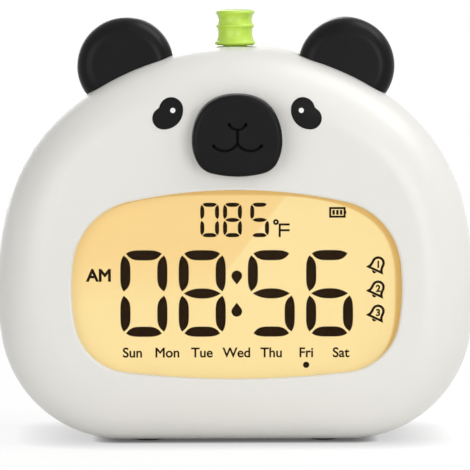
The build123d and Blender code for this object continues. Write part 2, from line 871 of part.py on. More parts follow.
with BuildPart() as lcd_frame:
    add(plate(frame_width, frame_height, lcd_mid_z, lcd_y, frame_back_y - lcd_y, lcd_corner))
    with Locations(*planes(frame_screw_points, toward_back)):
        Cylinder(small_boss_radius, frame_tab_thickness, align=hung)
    with Locations(*[(x - x / abs(x) * small_boss_radius, y, z) for x, y, z in frame_screw_points]):
        Box(
            2 * small_boss_radius,
            frame_tab_thickness,
            2 * small_boss_radius,
            align=(Align.CENTER, Align.MAX, Align.CENTER),
        )
    add(frame_pocket, mode=Mode.SUBTRACT)
    with Locations(*planes(at_depth(board_screw_points, board_y), toward_back)):
        Cylinder(small_boss_radius, board_standoff, align=hung)
    with Locations(*planes(frame_screw_points, toward_back)):
        Cylinder(screw_shank_radius + slip_gap, frame_tab_thickness, align=hung, mode=Mode.SUBTRACT)
    with Locations(*planes(at_depth(board_screw_points, board_y), toward_back)):
        Cylinder(
            screw_shank_radius + seat_gap,
            screw_shank_length - board_thickness + seat_gap,
            align=hung,
            mode=Mode.SUBTRACT,
        )
    with Locations((0, frame_floor_y, zebra_z)):
        Box(
            zebra_width + 2 * slip_gap,
            frame_back,
            zebra_depth + 2 * slip_gap,
            align=(Align.CENTER, Align.MIN, Align.CENTER),
            mode=Mode.SUBTRACT,
        )
    with Locations(*at_depth(led_points, frame_floor_y)):
        Box(
            led_width + 2 * run_gap,
            frame_back,
            led_height + 2 * run_gap,
            align=(Align.CENTER, Align.MIN, Align.CENTER),
            mode=Mode.SUBTRACT,
        )

frame_screws = small_screws(planes(frame_screw_points, toward_back))

with BuildPart() as main_board:
    add(plate(board_width, board_height, board_mid_z, board_y, board_thickness))
    with Locations(*planes(board_screw_points, toward_back)):
        Cylinder(screw_shank_radius + slip_gap, board_thickness, align=hung, mode=Mode.SUBTRACT)

board_screws = small_screws(planes(board_screw_points, toward_back))

with BuildPart() as controller_chip:
    with Locations((0, board_back_y, board_mid_z)):
        Box(chip_size, chip_height, chip_size, align=(Align.CENTER, Align.MIN, Align.CENTER))


def make_switch(places):
    """Tact switch housings with a round well for the plunger, each on a plane that faces its key."""
    with BuildPart() as switch:
        with Locations(*places):
            Box(switch_size, switch_size, switch_height, align=seated)
        with Locations(*[place.offset(switch_height) for place in places]):
            Cylinder(plunger_radius + slip_gap, plunger_well, align=hung, mode=Mode.SUBTRACT)
    return switch.part


def make_plunger(place, travel):
    """A tact switch's plunger, which keeps clear of its well's floor when pressed."""
    with BuildPart() as plunger:
        with Locations(place.offset(switch_height + plunger_proud)):
            Cylinder(plunger_radius, plunger_proud + plunger_well - travel - run_gap, align=hung)
    return plunger.part


# Snooze: the bamboo cap on its plunger, the spring, and the switch on a small board
bamboo_rings = [
    (radius, bamboo_z + share * bamboo_height)
    for radius, share in zip((bamboo_foot_radius, bamboo_ring_radius, bamboo_rim_radius), bamboo_ring_shares)
]


def bamboo_bead(radius, height):
    """Points up the rounded outside of a ring."""
    for step in range(bamboo_bead_steps + 1):
        turn = radians(bamboo_bead_angle * (2 * step / bamboo_bead_steps - 1))
        yield radius - bamboo_bead_radius * (1 - cos(turn)), height + bamboo_bead_radius * sin(turn)


def bamboo_waist(low, high):
    """Points along the hollow waist from one ring's upper edge to the next ring's lower edge."""
    for step in range(1, bamboo_waist_steps):
        share = step / bamboo_waist_steps
        radius = low[0] + (high[0] - low[0]) * share - bamboo_waist_depth * (1 - (2 * share - 1) ** 2)
        yield radius, low[1] + (high[1] - low[1]) * share


foot_bead, ring_bead, rim_bead = [list(bamboo_bead(*ring)) for ring in bamboo_rings]

with BuildPart() as bamboo_cap:
    with BuildSketch(Plane.XZ.offset(-crest_y)):
        with BuildLine():
            Polyline(
                (0, bamboo_z),
                (bamboo_base_radius, bamboo_z),
                *foot_bead,
                *bamboo_waist(foot_bead[-1], ring_bead[0]),
                *ring_bead,
                *bamboo_waist(ring_bead[-1], rim_bead[0]),
                *rim_bead,
                (bamboo_cup_radius, bamboo_z + bamboo_height),
                (bamboo_cup_radius, bamboo_z + bamboo_cup_share * bamboo_height),
                (0, bamboo_z + bamboo_cup_share * bamboo_height),
                close=True,
            )
        make_face()
    revolve(axis=Axis((0, crest_y, 0), (0, 0, 1)))
    with Locations((0, crest_y, bamboo_z)):
        Cylinder(bamboo_spigot_radius, bamboo_z - collar_z, align=hung)
    with Locations((0, crest_y, collar_z)):
        Cylinder(pin_radius + seat_gap, pin_length + seat_gap, align=seated, mode=Mode.SUBTRACT)

with BuildPart() as snooze_plunger:
    with Locations((0, crest_y, collar_z)):
        Cylinder(pin_radius, pin_length, align=seated)
        Cylinder(collar_radius, collar_thickness, align=hung)
        Cylinder(stem_radius, collar_thickness + stem_drop, align=hung)

spring_low_z = snooze_board_z + spring_wire_radius + seat_gap
spring_high_z = collar_z - collar_thickness - spring_wire_radius - seat_gap

with BuildPart() as snooze_spring:
    with BuildLine() as coil:
        Helix(
            (spring_high_z - spring_low_z) / spring_turns,
            spring_high_z - spring_low_z,
            spring_radius,
            center=(0, crest_y, spring_low_z),
        )
    with BuildSketch(Plane(origin=coil.line @ 0, z_dir=coil.line % 0)):
        RegularPolygon(spring_wire_radius, spring_sides)
    sweep(path=coil.line, is_frenet=True)

snooze_switch_place = Plane(origin=(0, crest_y, snooze_board_z), z_dir=upward)
snooze_switch = make_switch([snooze_switch_place])
snooze_switch_plunger = make_plunger(snooze_switch_place, snooze_travel)

with BuildPart() as snooze_board:
    with Locations((0, crest_y, snooze_board_z)):
        Box(snooze_board_width, snooze_board_depth, board_thickness, align=hung)
    with Locations(*snooze_screw_points):
        Cylinder(screw_shank_radius + slip_gap, board_thickness, align=seated, mode=Mode.SUBTRACT)

snooze_board_screws = small_screws(planes(snooze_screw_points, downward))

# Rear keys, their switches and board
key_places = [
    Plane(origin=(x, key_board_y, key_z), x_dir=(1, 0, 0), z_dir=toward_back) for x in key_xs
]
key_switches = make_switch(key_places)
key_tip = switch_height + plunger_proud


def make_key(place):
    """A round key with a flange behind the cover and a stem on the switch's plunger."""
    cap_end = key_board_gap + wall + key_proud
    flange_end = key_board_gap - run_gap
    with BuildPart() as key:
        with Locations(place.offset(cap_end)):
            Cylinder(key_radius, cap_end - flange_end, align=hung)
        chamfer(key.edges().filter_by(GeomType.CIRCLE).sort_by(Axis.Y)[-1], key_edge)
        with Locations(place.offset(flange_end)):
            Cylinder(key_flange_radius, key_flange_thickness, align=hung)
            Cylinder(key_stem_radius, flange_end - key_tip, align=hung)
    return key.part


with BuildPart() as key_board:
    add(
        plate(
            key_board_width,
            key_board_height,
            key_z,
            key_board_y - board_thickness,
            board_thickness,
            key_board_corner,
        )
    )
    with Locations(*planes(key_screw_points, toward_front)):
        Cylinder(screw_shank_radius + slip_gap, board_thickness, align=hung, mode=Mode.SUBTRACT)

key_board_screws = small_screws(planes(key_screw_points, toward_front))

with BuildPart() as temperature_sensor:
    with Locations(*planes([(0, key_board_y, sensor_z)], toward_back)):
        with GridLocations(sensor_lead_pitch, sensor_lead_pitch, 2, 1):
            Cylinder(sensor_lead_radius, sensor_lead_length, align=seated)
    with Locations(*planes([(0, key_board_y + sensor_lead_length, sensor_z)], toward_back)):
        Cylinder(sensor_radius, 2 * sensor_radius, align=seated)

# Loudspeaker on its gasket, against the sound slots
speaker_place = Plane(origin=(0, inner_rear_y, speaker_z), x_dir=(1, 0, 0), z_dir=toward_front)
flange_low = gasket_thickness
flange_high = gasket_thickness + speaker_flange
basket_high = flange_high + speaker_cone_depth

with BuildPart() as speaker_gasket:
    with Locations(speaker_place):
        Cylinder(speaker_radius, gasket_thickness, align=seated)
        Cylinder(speaker_radius - gasket_width, gasket_thickness, align=seated, mode=Mode.SUBTRACT)

with BuildPart() as speaker_basket:
    with Locations(speaker_place.offset(flange_low)):
        Cylinder(speaker_radius, speaker_flange, align=seated)
    with Locations(speaker_place.offset(flange_high)):
        Cone(
            speaker_cone_radius + speaker_basket_wall,
            speaker_neck_radius + speaker_basket_wall,
            speaker_cone_depth,
            align=seated,
        )
        Cone(speaker_cone_radius, speaker_neck_radius, speaker_cone_depth, align=seated, mode=Mode.SUBTRACT)
    with Locations(speaker_place.offset(flange_low)):
        Cylinder(speaker_cone_radius, speaker_flange, align=seated, mode=Mode.SUBTRACT)
    with Locations(speaker_place.offset(flange_high)):
        with Locations((0, -speaker_terminal_drop)):
            Box(speaker_terminal_width, speaker_terminal_height, speaker_terminal_depth, align=seated)

with BuildPart() as speaker_cone:
    with Locations(speaker_place.offset(flange_low)):
        Cylinder(speaker_cone_radius - seat_gap, speaker_cone_wall, align=seated)
    with Locations(speaker_place.offset(flange_low + speaker_cone_wall)):
        Cone(
            speaker_cone_radius - speaker_surround,
            speaker_neck_radius - seat_gap,
            basket_high - flange_low - speaker_cone_wall - seat_gap,
            align=seated,
        )
    with Locations(speaker_place.offset(flange_low)):
        Cone(
            speaker_cone_radius - speaker_surround - speaker_cone_wall,
            speaker_neck_radius - speaker_cone_wall,
            speaker_cone_depth,
            align=seated,
            mode=Mode.SUBTRACT,
        )

with BuildPart() as speaker_magnet:
    with Locations(speaker_place.offset(basket_high)):
        Cylinder(magnet_radius, magnet_height, align=seated)

speaker_screws = screws(
    planes(speaker_screw_points, toward_front),
    speaker_screw_head_radius,
    screw_head_height,
    screw_shank_radius,
    speaker_screw_length,
)

# USB port on the power board
usb_length = wall + key_board_gap - usb_set_back
usb_place = Plane(origin=(0, key_board_y, usb_z), x_dir=(1, 0, 0), z_dir=toward_back)

with BuildPart() as usb_port:
    with BuildSketch(usb_place):
        SlotOverall(usb_width, usb_height)
    extrude(amount=usb_length)
    with BuildSketch(usb_place.offset(usb_length)):
        SlotOverall(usb_width - 2 * usb_shell, usb_height - 2 * usb_shell)
    extrude(amount=usb_floor - usb_length, mode=Mode.SUBTRACT)

with BuildPart() as usb_tongue:
    with Locations(usb_place.offset(usb_floor)):
        Box(usb_tongue_width, usb_tongue_thickness, usb_length - usb_floor - usb_set_back, align=seated)

with BuildPart() as power_board:
    add(plate(power_board_width, power_board_height, usb_z, key_board_y - board_thickness, board_thickness))
    with Locations(*planes(power_screw_points, toward_front)):
        Cylinder(screw_shank_radius + slip_gap, board_thickness, align=hung, mode=Mode.SUBTRACT)

power_board_screws = small_screws(planes(power_screw_points, toward_front))

# Battery cell in its tray
cell_place = Plane(origin=(0, cell_y, cell_z), z_dir=(1, 0, 0))

with BuildPart() as battery_cell:
    with Locations(cell_place):
        Cylinder(cell_radius, cell_length)

with BuildPart() as battery_tray:
    with Locations((0, cell_y, tray_z)):
        Box(tray_length, tray_width, tray_height, align=seated)
    with Locations((0, tray_tab_y, tray_z)):
        Box(tray_length + 2 * tray_tab_length, tray_tab_width, tray_wall, align=seated)
    with Locations(cell_place):
        Cylinder(cell_radius + tray_gap, cell_length + 2 * tray_gap, mode=Mode.SUBTRACT)
    with Locations(*tray_screw_points):
        Cylinder(screw_shank_radius + slip_gap, tray_wall, align=hung, mode=Mode.SUBTRACT)

tray_screws = small_screws(planes(tray_screw_points, upward))


def make_lead(points):
    """A thin lead along straight runs with rounded bends."""
    with BuildPart() as lead:
        with BuildLine() as route:
            FilletPolyline(*points, radius=lead_bend)
        with BuildSketch(Plane(origin=route.line @ 0, z_dir=route.line % 0)):
            RegularPolygon(lead_radius, lead_sides)
        sweep(path=route.line)
    return lead.part


key_front_y = key_board_y - board_thickness
lead_z = cell_z + cell_radius + lead_lift
battery_lead = make_lead(
    [
        (cell_length / 2, cell_y, cell_z),
        (cell_length / 2 + battery_lead_out, cell_y, cell_z),
        (cell_length / 2 + battery_lead_out, cell_y, lead_z),
        (battery_lead_in, cell_y, lead_z),
        (battery_lead_in, key_front_y, lead_z),
    ]
)
power_lead = make_lead(
    [
        (-battery_lead_in, key_front_y, lead_z),
        (-battery_lead_in, cell_y + cell_radius, lead_z),
        (-battery_lead_in, cell_y - lead_bend, lead_z + lead_bend),
        (-battery_lead_in, board_back_y, lead_z + lead_bend),
    ]
)
speaker_lead_y = inner_rear_y - flange_high - speaker_terminal_depth
speaker_lead_z = speaker_z - speaker_terminal_drop
speaker_lead = make_lead(
    [
        (0, speaker_lead_y, speaker_lead_z),
        (0, crest_y + speaker_lead_jog, speaker_lead_z),
        (speaker_lead_jog, crest_y, speaker_lead_z),
        (speaker_lead_jog, board_back_y, speaker_lead_z),
    ]
)
snooze_lead = make_lead(
    [
        (snooze_lead_x, crest_y, snooze_board_z - board_thickness),
        (snooze_lead_x, crest_y, board_mid_z + snooze_lead_rise),
        (snooze_lead_x, board_back_y, board_mid_z + snooze_lead_rise),
    ]
)

with BuildPart() as key_ribbon:
    with BuildLine() as ribbon_route:
        FilletPolyline(
            (ribbon_x, board_back_y, board_mid_z + ribbon_low),
            (ribbon_x, crest_y, board_mid_z + ribbon_low),
            (ribbon_x, key_front_y - ribbon_turn, key_z - ribbon_drop),
            (ribbon_x, key_front_y, key_z - ribbon_drop),
            radius=ribbon_bend,
        )
    with BuildSketch(Plane(origin=ribbon_route.line @ 0, x_dir=(1, 0, 0), z_dir=toward_back)):
        Rectangle(ribbon_width, ribbon_thickness)
    sweep(path=ribbon_route.line)

pieces = {
    "front_shell": front_shell.part,
    "rear_cover": rear_cover.part,
    "case_screws": case_screws,
    "foot_pads": foot_pads.part,
    "muzzle_cap": muzzle_cap.part,
    "muzzle_screws": muzzle_screws,
    "left_eye": make_eye(-1),
    "right_eye": make_eye(1),
    "left_ear": make_ear(-1),
    "right_ear": make_ear(1),
    "ear_screws": ear_screws,
    "display_lens": display_lens.part,
    "lcd_panel": lcd_panel,
    "light_guide": light_guide.part,
    "zebra_strip": zebra_strip.part,
    "backlight_leds": backlight_leds.part,
    "lcd_frame": lcd_frame.part,
    "frame_screws": frame_screws,
    "main_board": main_board.part,
    "board_screws": board_screws,
    "controller_chip": controller_chip.part,
    "bamboo_cap": bamboo_cap.part,
    "snooze_plunger": snooze_plunger.part,
    "snooze_spring": snooze_spring.part,
    "snooze_switch": snooze_switch,
    "snooze_switch_plunger": snooze_switch_plunger,
    "snooze_board": snooze_board.part,
    "snooze_board_screws": snooze_board_screws,
    "key_switches": key_switches,
    "key_board": key_board.part,
    "key_board_screws": key_board_screws,
    "temperature_sensor": temperature_sensor.part,
    "speaker_gasket": speaker_gasket.part,
    "speaker_basket": speaker_basket.part,
    "speaker_cone": speaker_cone.part,
    "speaker_magnet": speaker_magnet.part,
    "speaker_screws": speaker_screws,
    "usb_port": usb_port.part,
    "usb_tongue": usb_tongue.part,
    "power_board": power_board.part,
    "power_board_screws": power_board_screws,
    "battery_cell": battery_cell.part,
    "battery_tray": battery_tray.part,
    "tray_screws": tray_screws,
    "battery_lead": battery_lead,
    "power_lead": power_lead,
    "speaker_lead": speaker_lead,
    "snooze_lead": snooze_lead,
    "key_ribbon": key_ribbon.part,
}
for name, place in zip(key_names, key_places):
    pieces[f"{name}_key"] = make_key(place)
    pieces[f"{name}_switch_plunger"] = make_plunger(place, key_travel)

os.makedirs("parts", exist_ok=True)
for name, piece in pieces.items():
    piece.label = name
    export_step(piece, f"parts/{name}.step")
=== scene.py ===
from math import asin, atan2, cos, hypot, pi, radians, sin

import bmesh
import bpy
from mathutils import Matrix, Vector
from mathutils.bvhtree import BVHTree


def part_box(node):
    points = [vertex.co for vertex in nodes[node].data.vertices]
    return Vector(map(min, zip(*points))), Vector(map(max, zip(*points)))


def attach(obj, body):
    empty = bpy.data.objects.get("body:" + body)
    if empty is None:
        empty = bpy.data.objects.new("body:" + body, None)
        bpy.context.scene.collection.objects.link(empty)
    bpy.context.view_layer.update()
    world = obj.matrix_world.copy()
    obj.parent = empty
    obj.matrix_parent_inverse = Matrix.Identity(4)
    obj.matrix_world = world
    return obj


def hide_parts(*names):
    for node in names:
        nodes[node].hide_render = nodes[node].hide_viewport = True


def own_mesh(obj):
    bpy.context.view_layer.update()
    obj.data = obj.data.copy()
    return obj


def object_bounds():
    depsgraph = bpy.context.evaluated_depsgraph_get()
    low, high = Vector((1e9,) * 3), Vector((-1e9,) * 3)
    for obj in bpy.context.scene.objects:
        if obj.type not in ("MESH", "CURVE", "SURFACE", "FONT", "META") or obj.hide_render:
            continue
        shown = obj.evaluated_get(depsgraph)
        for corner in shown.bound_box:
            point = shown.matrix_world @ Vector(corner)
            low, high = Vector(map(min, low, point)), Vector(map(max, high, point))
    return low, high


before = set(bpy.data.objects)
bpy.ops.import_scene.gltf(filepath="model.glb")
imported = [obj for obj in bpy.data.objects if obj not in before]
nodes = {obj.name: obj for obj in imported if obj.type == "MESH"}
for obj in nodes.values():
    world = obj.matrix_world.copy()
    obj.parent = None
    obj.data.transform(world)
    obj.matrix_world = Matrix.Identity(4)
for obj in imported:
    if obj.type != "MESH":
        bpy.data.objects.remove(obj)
cad_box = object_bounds()

# All lengths are in metres, in the clock's own frame: X to the viewer's right, Y to the back, Z up.
MM = 0.001

# The photograph's view
SENSOR_WIDTH = 36.0
VIEW_WIDTH = 140.0 * MM
VIEW_TARGET = Vector((0.0, 3.0, 59.8)) * MM
VIEW_DISTANCE = 1200.0 * MM
VIEW_AZIMUTH = radians(-1.1)
VIEW_ELEVATION = radians(4.3)

# Figures on the display, measured from the middle of its width and from the table
INK_THICKNESS = 0.06 * MM
LIT_SEGMENTS = {"0": "abcdef", "5": "acdfg", "6": "acdefg", "8": "abcdefg"}
TIME_DIGITS = "0856"
TIME_CENTRES = [x * MM for x in (-27.07, -10.07, 10.07, 27.07)]
TIME_LOW = 32.1 * MM
TIME_WIDTH = 13.7 * MM
TIME_HEIGHT = 25.3 * MM
TIME_STROKE = 2.95 * MM
COLON_HEIGHTS = (39.5 * MM, 49.9 * MM)
COLON_RADIUS = 1.55 * MM
COLON_TIP = 2.55 * MM
HEAT_DIGITS = "085"
HEAT_CENTRES = [x * MM for x in (-7.9, -1.25, 6.65)]
HEAT_LOW = 61.2 * MM
HEAT_WIDTH = 5.5 * MM
HEAT_HEIGHT = 10.05 * MM
HEAT_STROKE = 1.2 * MM
DEGREE_PLACE = (11.4 * MM, 65.6 * MM)
DEGREE_RADIUS = 0.55 * MM
UNIT_PLACE = (12.5 * MM, 61.2 * MM)
UNIT_WIDTH = 2.9 * MM
UNIT_HEIGHT = 4.0 * MM
UNIT_STROKE = 0.62 * MM
FINE_STROKE = 0.6 * MM

# Segments of a figure: lengths and places as shares of its width or height
BAR_LENGTH = 0.765
WAIST_LENGTH = 0.79
POST_LENGTH = 0.418
UPPER_POST = 0.732
LOWER_POST = 0.267

# Ends of a segment: where the point lies across the stroke, and how late the edges bend to it
POINT_SHARE = 0.33
POINT_POWER = 4
WAIST_POINT_SHARE = 0.5
WAIST_POINT_POWER = 2.4

# Battery sign, with its cap and bars as shares of half its width or height
CELL_SIGN_MIDDLE = (29.3 * MM, 68.4 * MM)
CELL_SIGN_SIZE = (4.2 * MM, 2.5 * MM)
CELL_CAP_LENGTH = 0.5 * MM
CELL_CAP_FOOT = 0.4
CELL_CAP_TOP = 0.3
CELL_BAR_PITCH = 0.52
CELL_BAR_HALF_WIDTH = 0.17
CELL_BAR_HALF_HEIGHT = 0.55

# Bells, with their forms as shares of half their width
BELL_X = 41.0 * MM
BELL_HEIGHTS = [z * MM for z in (53.1, 46.05, 39.0)]
BELL_LEAN = radians(-25)
BELL_WIDTH = 4.3 * MM
BELL_STROKE = 0.72 * MM
BELL_DOME = 0.74
BELL_WAIST_Z = 0.7
BELL_FLARE = 0.8
BELL_FLARE_Z = 0.3
BELL_SINK = 0.75
CLAPPER_DROP = 0.2
CLAPPER_RADIUS = 0.31

# Words on the display
BELL_NUMBER_SHIFT = (0.25 * MM, -0.85 * MM)
BELL_NUMBER_SIZE = 2.75 * MM
BELL_NUMBER_WEIGHT = 0.11 * MM
MERIDIEM_PLACE = (-40.1 * MM, 48.4 * MM)
MERIDIEM_SIZE = 5.0 * MM
MERIDIEM_WEIGHT = 0.17 * MM
WEEKDAYS = ("Sun", "Mon", "Tue", "Wed", "Thu", "Fri", "Sat")
WEEKDAY_PITCH = 10.13 * MM
WEEKDAY_LOW = 26.1 * MM
WEEKDAY_SIZE = 4.0 * MM
WEEKDAY_WEIGHT = 0.08 * MM
TODAY = "Fri"
TODAY_DOT_Z = 23.8 * MM
TODAY_DOT_RADIUS = 0.92 * MM

# Words printed on the back under the keys
KEY_WORDS = {"mode_key": "MODE", "down_key": "DOWN", "up_key": "UP", "alarm_key": "ALARM"}
KEY_WORD_SIZE = 1.8 * MM
KEY_WORD_WEIGHT = 0.05 * MM
KEY_WORD_DROP = 2.6 * MM

# Return spring of the button on the crown
SPRING_WIRE_RADIUS = 0.4 * MM
SPRING_TURNS = 5
SPRING_STEPS = 40
WIRE_SIDES = 10

# Nose and mouth, whose lines of painted shade lie in the muzzle's grooves
LINE_WIDTH = 0.64 * MM
LINE_END_RADIUS = 0.42 * MM
LINE_DEPTH = 1.0 * MM
NOSE_TIP = (0.0, 93.0 * MM)
NOSE_END = (2.4 * MM, 94.5 * MM)
LIP_MIDDLE = (0.0, 89.0 * MM)
MOUTH_LOW = (3.45 * MM, 86.9 * MM)
MOUTH_END = (6.9 * MM, 88.3 * MM)

# Eyes: circles as distance from the clock's middle, height and radius
EYE_HEAD = (19.07 * MM, 98.67 * MM, 3.45 * MM)
EYE_TAIL = (21.32 * MM, 96.0 * MM, 3.22 * MM)
EYE_CHEEK = (21.18 * MM, 98.34 * MM, 5.56 * MM)
EYE_GLINT = (18.6 * MM, 98.3 * MM, 0.75 * MM)
EYE_NOTCH_ROUND = 0.7 * MM
EYE_NOTCH_STEPS = 4
EYE_MIDDLE = (20.2 * MM, 97.2 * MM)
EYE_PROUD = 0.1 * MM
EYE_RINGS = 6
POCKET_CIRCLES = ((19.2 * MM, 98.3 * MM, 3.8 * MM), (21.4 * MM, 96.0 * MM, 3.5 * MM))
POCKET_GAP_REACH = 0.2 * MM
POCKET_BED_PROUD = 0.004 * MM
SKIN = 0.05 * MM
SHARP_ANGLE = radians(40)

# The display's lit face, the painted glare beyond a slanting edge, the heights between which that edge fades,
# and the painted shadow along its top and right edges
FACE_DEEP = (0.502, 0.352, 0.136)
FACE_PAINTED_GLARE = (0.52, 0.402, 0.18)
FACE_PAINTED_SHADE = (0.415, 0.258, 0.072)
FACE_GLOW = 1.04
FACE_ROUGHNESS = 0.5
GLARE_ACROSS = (0.78, 0, -0.62)
GLARE_EDGE = (-34.8 * MM, -33.6 * MM)
GLARE_FADE = (60.0 * MM, 36.0 * MM)

# Painted shadow of the window's edge on the display: a rounded outline set a little down and to the left
SHADE_X = -1.6 * MM
SHADE_Z = 44.7 * MM
SHADE_HALF_WIDTH = 48.0 * MM
SHADE_HALF_HEIGHT = 28.9 * MM
SHADE_ROUNDNESS = 3.1
SHADE_EDGE = (0.96, 1.02)

# Grain and gloss that the materials share
NOISE_DETAIL = 3.0
GLOSS_SPREAD = 0.1
GRAIN_SIZE = 0.25 * MM
RELIEF_DEPTH = 0.05 * MM
STRIPE_RELIEF = 0.2
STRIPE_WAVER = 0.3
WAVES_PER_SCALE = 10 / pi

# Circuit boards
TRACK_PITCH = 5 * MM
TRACK_SHARE = 0.12
TRACK_GREEN = (0.08, 0.36, 0.16)
MASK_GREEN = (0.02, 0.16, 0.07)
BOARD_ROUGHNESS = 0.35

# Studio
FLOOR_RADIUS = 0.5
FLOOR_SIDES = 96
FLOOR_WHITE = (0.92, 0.92, 0.92, 1)
SEEN_FLOOR_GREY = (0.16, 0.16, 0.16, 1)
SEEN_FLOOR_GLOW = 0.86
# Reaches and share by which the floor's seen glow is dimmed near the clock: painted shadow
CONTACT_SHADOW_REACH = 1.9 * MM
SOFT_SHADOW_REACH = 13 * MM
SOFT_SHADOW_SHARE = 0.64
WORLD_WHITE = (1, 1, 1, 1)
WORLD_LIGHT = 0.25
WORLD_SEEN_EXTRA = 0.75
LAMP_TARGET = Vector((0, 0, 60)) * MM

display_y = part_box("lcd_panel")[0].y
groove_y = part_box("muzzle_cap")[0].y + LINE_DEPTH
back_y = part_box("rear_cover")[1].y


# Shader nodes


def shader(name):
    """A new material, its node tree and its main shader."""
    material = bpy.data.materials.new(name)
    material.use_nodes = True
    tree = material.node_tree
    return material, tree, tree.nodes["Principled BSDF"]


def node(tree, kind, **settings):
    """A new node with the given properties and, by name, input values."""
    made = tree.nodes.new(kind)
    for key, value in settings.items():
        if key in made.inputs:
            made.inputs[key].default_value = value
        else:
            setattr(made, key, value)
    return made


def link(tree, value, target, socket):
    """Lead a node's output into an input of another node, given by its name or number."""
    tree.links.new(value, target.inputs[socket])


def set_sockets(target, **values):
    """Set a node's inputs, with an underscore for each space in their names."""
    for socket, value in values.items():
        target.inputs[socket.replace("_", " ")].default_value = value


def own_place(tree):
    """The place on the piece, in the piece's own coordinates."""
    return node(tree, "ShaderNodeTexCoord").outputs["Object"]


def noise(tree, size):
    """Noise over the piece's own place, with blotches of about the given size."""
    texture = node(tree, "ShaderNodeTexNoise", Scale=1 / size, Detail=NOISE_DETAIL)
    link(tree, own_place(tree), texture, "Vector")
    return texture.outputs["Fac"]


def parts_of(tree, vector):
    """The outputs X, Y and Z of a place."""
    parts = node(tree, "ShaderNodeSeparateXYZ")
    link(tree, vector, parts, "Vector")
    return parts.outputs


def combine(tree, operation, *terms):
    """A value worked out from numbers and from other nodes' values."""
    made = node(tree, "ShaderNodeMath", operation=operation)
    for i, term in enumerate(terms):
        if isinstance(term, bpy.types.NodeSocket):
            link(tree, term, made, i)
        else:
            made.inputs[i].default_value = term
    return made.outputs["Value"]


def carry_over(tree, value, taken=(0, 1), given=(0, 1), **settings):
    """A value carried over from the range that is taken to the range that is given."""
    made = node(tree, "ShaderNodeMapRange", **settings)
    set_sockets(made, From_Min=taken[0], From_Max=taken[1], To_Min=given[0], To_Max=given[1])
    link(tree, value, made, "Value")
    return made.outputs["Result"]


def smooth_step(tree, value, limits):
    """A value that rises smoothly from 0 at the first limit to 1 at the second."""
    return carry_over(tree, value, taken=limits, interpolation_type="SMOOTHSTEP")


def colour_ramp(tree, factor, low, high, top=1.0):
    """A colour that runs from the low to the high one as the factor goes from 0 to the top."""
    ramp = node(tree, "ShaderNodeValToRGB")
    first, last = ramp.color_ramp.elements
    first.color = (*low, 1)
    last.color = (*high, 1)
    last.position = top
    link(tree, factor, ramp, "Fac")
    return ramp.outputs["Color"]


def blend(tree, factor, low, high):
    """A mix by a factor of two colours, each written out or another node's value."""
    mix = node(tree, "ShaderNodeMix", data_type="RGBA")
    for socket, colour in (("A", low), ("B", high)):
        if isinstance(colour, bpy.types.NodeSocket):
            link(tree, colour, mix, socket)
        else:
            mix.inputs[socket].default_value = (*colour, 1)
    link(tree, factor, mix, "Factor")
    return mix.outputs["Result"]


def add_relief(tree, height, strength, main):
    """Raise and lower a shader's surface with a node's value."""
    bump = node(tree, "ShaderNodeBump", Strength=strength, Distance=RELIEF_DEPTH)
    link(tree, height, bump, "Height")
    link(tree, bump.outputs["Normal"], main, "Normal")


def seen_directly(tree, strength):
    """The strength for rays from the camera, mirrors and glass, and nothing for other rays."""
    rays = node(tree, "ShaderNodeLightPath").outputs
    mirrored = combine(tree, "MAXIMUM", rays["Is Glossy Ray"], rays["Is Transmission Ray"])
    seen = combine(tree, "MAXIMUM", rays["Is Camera Ray"], mirrored)
    return combine(tree, "MULTIPLY", seen, strength)


# Materials


def scaled(colour, share):
    """A colour made darker or lighter, and no lighter than white."""
    return [min(1.0, channel * share) for channel in colour]


def surface(name, colour, roughness, spread=0.05, blotch=12 * MM, relief=0.06, **sockets):
    """A material with gentle changes of tone and gloss and a fine moulded or rolled grain."""
    material, tree, main = shader(name)
    tone = noise(tree, blotch)
    tint = colour_ramp(tree, tone, scaled(colour, 1 - spread), scaled(colour, 1 + spread))
    link(tree, tint, main, "Base Color")
    limits = (roughness * (1 - GLOSS_SPREAD), roughness * (1 + GLOSS_SPREAD))
    link(tree, carry_over(tree, tone, given=limits), main, "Roughness")
    add_relief(tree, noise(tree, GRAIN_SIZE), relief, main)
    set_sockets(main, **sockets)
    return material


def striped(name, low, high, roughness, pitch, **pattern):
    """A material with even stripes or rings, for a ribbon or a pressed cone."""
    material, tree, main = shader(name)
    scale = 1 / (WAVES_PER_SCALE * pitch)
    wave = node(tree, "ShaderNodeTexWave", Scale=scale, Distortion=STRIPE_WAVER, **pattern)
    link(tree, own_place(tree), wave, "Vector")
    link(tree, colour_ramp(tree, wave.outputs["Fac"], low, high), main, "Base Color")
    add_relief(tree, wave.outputs["Fac"], STRIPE_RELIEF, main)
    set_sockets(main, Roughness=roughness)
    return material


def board_material():
    """Green solder mask over a net of lighter copper tracks."""
    material, tree, main = shader("board_mask")
    net = node(tree, "ShaderNodeTexVoronoi", distance="MANHATTAN", feature="DISTANCE_TO_EDGE")
    set_sockets(net, Scale=1 / TRACK_PITCH)
    link(tree, own_place(tree), net, "Vector")
    mask = colour_ramp(tree, net.outputs["Distance"], TRACK_GREEN, MASK_GREEN, top=TRACK_SHARE)
    link(tree, mask, main, "Base Color")
    set_sockets(main, Roughness=BOARD_ROUGHNESS)
    return material


def window_measure(tree, place):
    """A value that passes 1 at the edge of the painted shadow of the window's edge on the display, from its
    rounded outline.
    """
    parts = parts_of(tree, place)
    powers = []
    for axis, middle, half in (("X", SHADE_X, SHADE_HALF_WIDTH), ("Z", SHADE_Z, SHADE_HALF_HEIGHT)):
        share = carry_over(tree, parts[axis], taken=(middle, middle + half), clamp=False)
        size = combine(tree, "ABSOLUTE", share)
        powers.append(combine(tree, "POWER", size, SHADE_ROUNDNESS))
    return combine(tree, "ADD", *powers)


